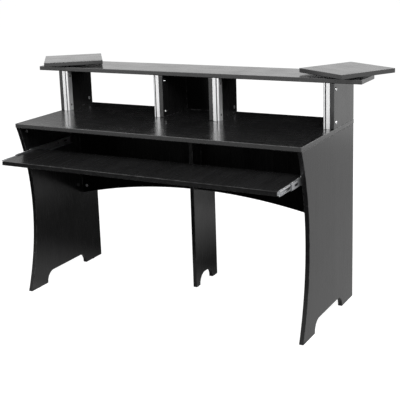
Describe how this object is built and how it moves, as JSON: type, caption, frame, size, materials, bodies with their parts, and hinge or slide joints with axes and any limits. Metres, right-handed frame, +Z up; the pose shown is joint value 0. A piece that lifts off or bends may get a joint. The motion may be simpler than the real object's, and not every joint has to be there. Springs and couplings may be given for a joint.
{
  "type": "studio desk",
  "caption": "Wood-grain board desk with arched sides, a raised shelf over rack bays, a keyboard tray on ball slides and swivelling speaker platforms.",
  "frame": {"origin": "on the floor, under the middle of the box of the whole desk with its tray drawn out as pictured", "axes": "+X to the sitter's right along the desk, +Y to the back of the desk, +Z up"},
  "size_m": [1.6968, 0.78, 0.996],
  "materials": {
    "black_board": "black wood-grain melamine on chipboard, satin",
    "bright_rail": "bright polished aluminium section",
    "nickel_screw": "nickel plated",
    "zinc_cam": "die-cast zinc",
    "zinc_slide": "zinc plated sheet steel",
    "black_plastic": "moulded, matte"
  },
  "bodies": {
    "carcass": {"side_panel_left": "black_board", "side_panel_right": "black_board", "centre_leg": "black_board", "modesty_panel_left": "black_board", "modesty_panel_right": "black_board", "worktop": "black_board", "divider_outer_left": "black_board", "divider_inner_left": "black_board", "divider_inner_right": "black_board", "divider_outer_right": "black_board", "centre_bay_back": "black_board", "top_shelf": "black_board", "rack_rail_outer_left": "bright_rail", "rack_rail_inner_left": "bright_rail", "rack_rail_inner_right": "bright_rail", "rack_rail_outer_right": "bright_rail", "rail_screw_outer_left_lower": "nickel_screw", "rail_screw_outer_left_upper": "nickel_screw", "rail_screw_inner_left_lower": "nickel_screw", "rail_screw_inner_left_upper": "nickel_screw", "rail_screw_inner_right_lower": "nickel_screw", "rail_screw_inner_right_upper": "nickel_screw", "rail_screw_outer_right_lower": "nickel_screw", "rail_screw_outer_right_upper": "nickel_screw", "cam_divider_outer_left_lower": "zinc_cam", "cam_divider_outer_left_upper": "zinc_cam", "cam_divider_inner_left_lower": "zinc_cam", "cam_divider_inner_left_upper": "zinc_cam", "cam_divider_inner_right_lower": "zinc_cam", "cam_divider_inner_right_upper": "zinc_cam", "cam_divider_outer_right_lower": "zinc_cam", "cam_divider_outer_right_upper": "zinc_cam", "cam_side_panel_left_front": "zinc_cam", "cam_side_panel_left_rear": "zinc_cam", "cam_side_panel_right_front": "zinc_cam", "cam_side_panel_right_rear": "zinc_cam", "cam_modesty_panel_left_outer": "zinc_cam", "cam_modesty_panel_left_inner": "zinc_cam", "cam_modesty_panel_right_outer": "zinc_cam", "cam_modesty_panel_right_inner": "zinc_cam", "cam_centre_leg": "zinc_cam", "glide_left_front": "black_plastic", "glide_left_rear": "black_plastic", "glide_right_front": "black_plastic", "glide_right_rear": "black_plastic", "glide_centre_front": "black_plastic", "glide_centre_rear": "black_plastic", "slide_outer_left": "zinc_slide", "slide_outer_right": "zinc_slide", "turntable_base_left": "zinc_slide", "turntable_base_right": "zinc_slide"},
    "tray": {"keyboard_tray": "black_board", "slide_inner_left": "zinc_slide", "slide_inner_right": "zinc_slide"},
    "slide_member_left": {"slide_middle_left": "zinc_slide"},
    "slide_member_right": {"slide_middle_right": "zinc_slide"},
    "platform_left": {"speaker_platform_left": "black_board", "turntable_top_left": "zinc_slide"},
    "platform_right": {"speaker_platform_right": "black_board", "turntable_top_right": "zinc_slide"}
  },
  "joints": [
    {"name": "tray_slide", "type": "slide", "parent": "carcass", "child": "tray", "axis": [0, -1, 0], "range_m": [-0.2, 0.1]},
    {"name": "slide_travel_left", "type": "slide", "parent": "carcass", "child": "slide_member_left", "axis": [0, -1, 0], "range_m": [-0.1, 0.05]},
    {"name": "slide_travel_right", "type": "slide", "parent": "carcass", "child": "slide_member_right", "axis": [0, -1, 0], "range_m": [-0.1, 0.05]},
    {"name": "platform_swivel_left", "type": "hinge", "parent": "carcass", "child": "platform_left", "pos_m": [-0.66337, 0.20496, 0.9745], "axis": [0, 0, 1], "continuous": true},
    {"name": "platform_swivel_right", "type": "hinge", "parent": "carcass", "child": "platform_right", "pos_m": [0.66663, 0.20496, 0.9745], "axis": [0, 0, 1], "continuous": true}
  ],
  "couplings": [
    {"joint": "slide_travel_left", "follows": "tray_slide", "ratio": 0.5},
    {"joint": "slide_travel_right", "follows": "tray_slide", "ratio": 0.5}
  ]
}
